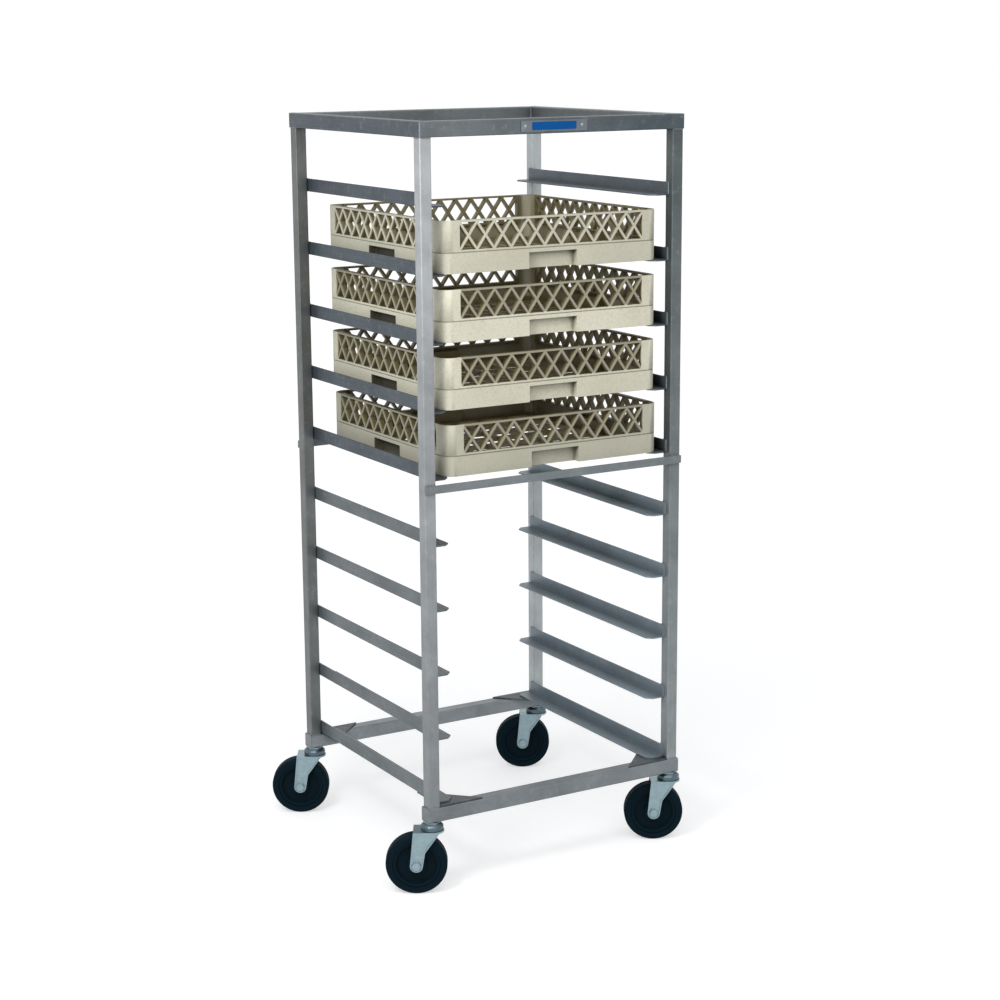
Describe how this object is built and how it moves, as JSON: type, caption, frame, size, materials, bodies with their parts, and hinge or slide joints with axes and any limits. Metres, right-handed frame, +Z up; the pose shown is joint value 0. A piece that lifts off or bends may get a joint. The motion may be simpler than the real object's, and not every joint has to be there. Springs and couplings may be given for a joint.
{
  "type": "glass rack dolly",
  "caption": "Open-frame tube dolly on swivel casters whose paired side ledges carry square lattice-walled glass racks, which slide out at the front or the rear.",
  "frame": {"origin": "on the floor, midway between the four wheels, which is the middle of the part's box", "axes": "+Z up, -Y towards the loading face with the name plate, +X to the right of someone who stands before that face"},
  "size_m": [0.6948, 0.6288, 1.533],
  "materials": {
    "frame": "satin",
    "plated_steel": "zinc plated",
    "plate": "satin",
    "panel": "satin",
    "rack": "moulded",
    "wheel": "moulded",
    "tyre": "matte"
  },
  "bodies": {
    "frame": {"post_front_left": "frame", "post_front_right": "frame", "post_rear_left": "frame", "post_rear_right": "frame", "top_rail_front": "frame", "top_rail_rear": "frame", "top_rail_left": "frame", "top_rail_right": "frame", "bottom_rail_front": "frame", "bottom_rail_rear": "frame", "rail_end_caps": "frame", "stem_blocks": "plated_steel", "corner_plates": "frame", "ledges_1": "frame", "ledges_2": "frame", "ledges_3": "frame", "ledges_4": "frame", "ledges_5": "frame", "ledges_6": "frame", "ledges_7": "frame", "ledges_8": "frame", "ledges_9": "frame", "ledges_10": "frame", "cross_bar_front": "frame", "cross_bar_rear": "frame", "name_plate": "plate", "name_panel": "panel", "plate_rivets": "plated_steel", "caster_stems": "plated_steel", "caster_cups": "plated_steel"},
    "swivel_front_left": {"caster_front_left_balls": "plated_steel", "caster_front_left_fork": "plated_steel", "caster_front_left_axle": "plated_steel", "caster_front_left_bush": "plated_steel"},
    "wheel_front_left": {"caster_front_left_core": "wheel", "caster_front_left_tyre": "tyre"},
    "swivel_front_right": {"caster_front_right_balls": "plated_steel", "caster_front_right_fork": "plated_steel", "caster_front_right_axle": "plated_steel", "caster_front_right_bush": "plated_steel"},
    "wheel_front_right": {"caster_front_right_core": "wheel", "caster_front_right_tyre": "tyre"},
    "swivel_rear_left": {"caster_rear_left_balls": "plated_steel", "caster_rear_left_fork": "plated_steel", "caster_rear_left_axle": "plated_steel", "caster_rear_left_bush": "plated_steel"},
    "wheel_rear_left": {"caster_rear_left_core": "wheel", "caster_rear_left_tyre": "tyre"},
    "swivel_rear_right": {"caster_rear_right_balls": "plated_steel", "caster_rear_right_fork": "plated_steel", "caster_rear_right_axle": "plated_steel", "caster_rear_right_bush": "plated_steel"},
    "wheel_rear_right": {"caster_rear_right_core": "wheel", "caster_rear_right_tyre": "tyre"},
    "rack_1": {"rack_1": "rack"},
    "rack_2": {"rack_2": "rack"},
    "rack_3": {"rack_3": "rack"},
    "rack_4": {"rack_4": "rack"}
  },
  "joints": [
    {"name": "front_left_swivel", "type": "hinge", "parent": "frame", "child": "swivel_front_left", "pos_m": [-0.25979, -0.2875, 0.133], "axis": [0, 0, 1], "continuous": true},
    {"name": "front_left_roll", "type": "hinge", "parent": "swivel_front_left", "child": "wheel_front_left", "pos_m": [-0.2875, -0.2715, 0.0625], "axis": [0.5, 0.866, 0], "continuous": true},
    {"name": "front_right_swivel", "type": "hinge", "parent": "frame", "child": "swivel_front_right", "pos_m": [0.31521, -0.2875, 0.133], "axis": [0, 0, 1], "continuous": true},
    {"name": "front_right_roll", "type": "hinge", "parent": "swivel_front_right", "child": "wheel_front_right", "pos_m": [0.2875, -0.2715, 0.0625], "axis": [0.5, 0.866, 0], "continuous": true},
    {"name": "rear_left_swivel", "type": "hinge", "parent": "frame", "child": "swivel_rear_left", "pos_m": [-0.25979, 0.2555, 0.133], "axis": [0, 0, 1], "continuous": true},
    {"name": "rear_left_roll", "type": "hinge", "parent": "swivel_rear_left", "child": "wheel_rear_left", "pos_m": [-0.2875, 0.2715, 0.0625], "axis": [0.5, 0.866, 0], "continuous": true},
    {"name": "rear_right_swivel", "type": "hinge", "parent": "frame", "child": "swivel_rear_right", "pos_m": [0.31521, 0.2555, 0.133], "axis": [0, 0, 1], "continuous": true},
    {"name": "rear_right_roll", "type": "hinge", "parent": "swivel_rear_right", "child": "wheel_rear_right", "pos_m": [0.2875, 0.2715, 0.0625], "axis": [0.5, 0.866, 0], "continuous": true},
    {"name": "rack_1_slide", "type": "slide", "parent": "frame", "child": "rack_1", "axis": [0, -1, 0], "range_m": [-0.56, 0.54]},
    {"name": "rack_2_slide", "type": "slide", "parent": "frame", "child": "rack_2", "axis": [0, -1, 0], "range_m": [-0.56, 0.54]},
    {"name": "rack_3_slide", "type": "slide", "parent": "frame", "child": "rack_3", "axis": [0, -1, 0], "range_m": [-0.56, 0.54]},
    {"name": "rack_4_slide", "type": "slide", "parent": "frame", "child": "rack_4", "axis": [0, -1, 0], "range_m": [-0.56, 0.54]}
  ]
}
